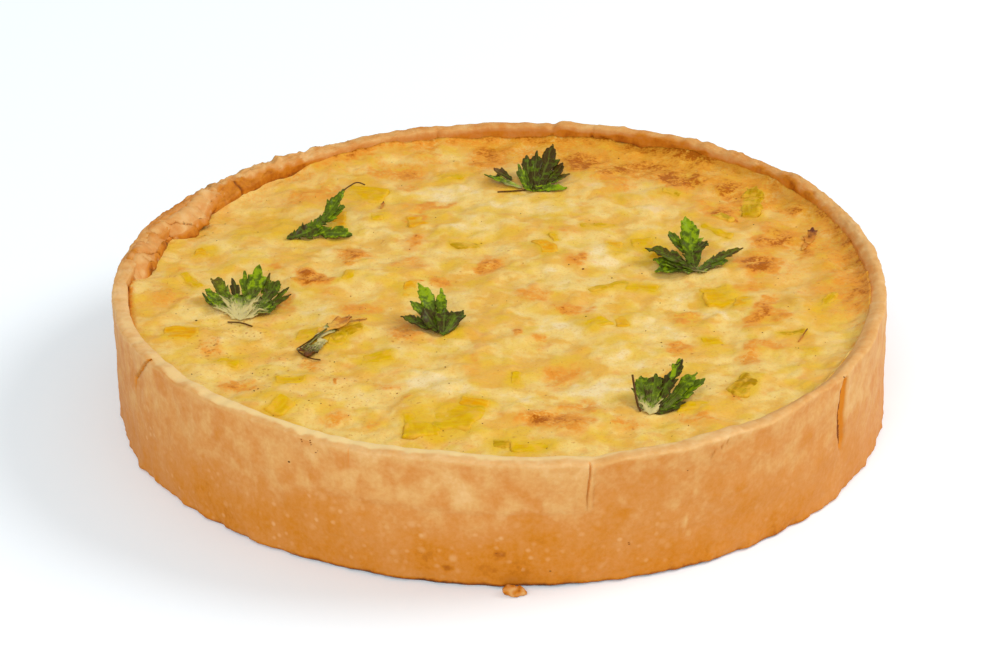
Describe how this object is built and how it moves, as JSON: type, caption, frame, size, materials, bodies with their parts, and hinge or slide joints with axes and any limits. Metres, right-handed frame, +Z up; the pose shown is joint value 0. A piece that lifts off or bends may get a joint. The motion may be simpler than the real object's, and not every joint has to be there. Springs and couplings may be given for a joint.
{
  "type": "leek quiche",
  "caption": "Deep round savoury pie in an open shortcrust case, filled level with baked leek custard and topped with curled parsley leaves.",
  "frame": {"origin": "middle of the flat underside", "axes": "+Z up through the filling, -Y towards the front of the picture, +X to its right"},
  "size_m": [0.2584, 0.2638, 0.0517],
  "materials": {
    "shortcrust": "baked shortcrust pastry, golden beige, matt to satin",
    "custard": "baked egg custard with leek and cheese, toasted in spots, slight sheen",
    "parsley": "baked parsley leaf, two-tone green, dull"
  },
  "bodies": {
    "root": {"crust": "shortcrust", "filling": "custard", "parsley_1": "parsley", "parsley_2": "parsley", "parsley_3": "parsley", "parsley_4": "parsley", "parsley_5": "parsley", "parsley_6": "parsley"}
  },
  "joints": []
}
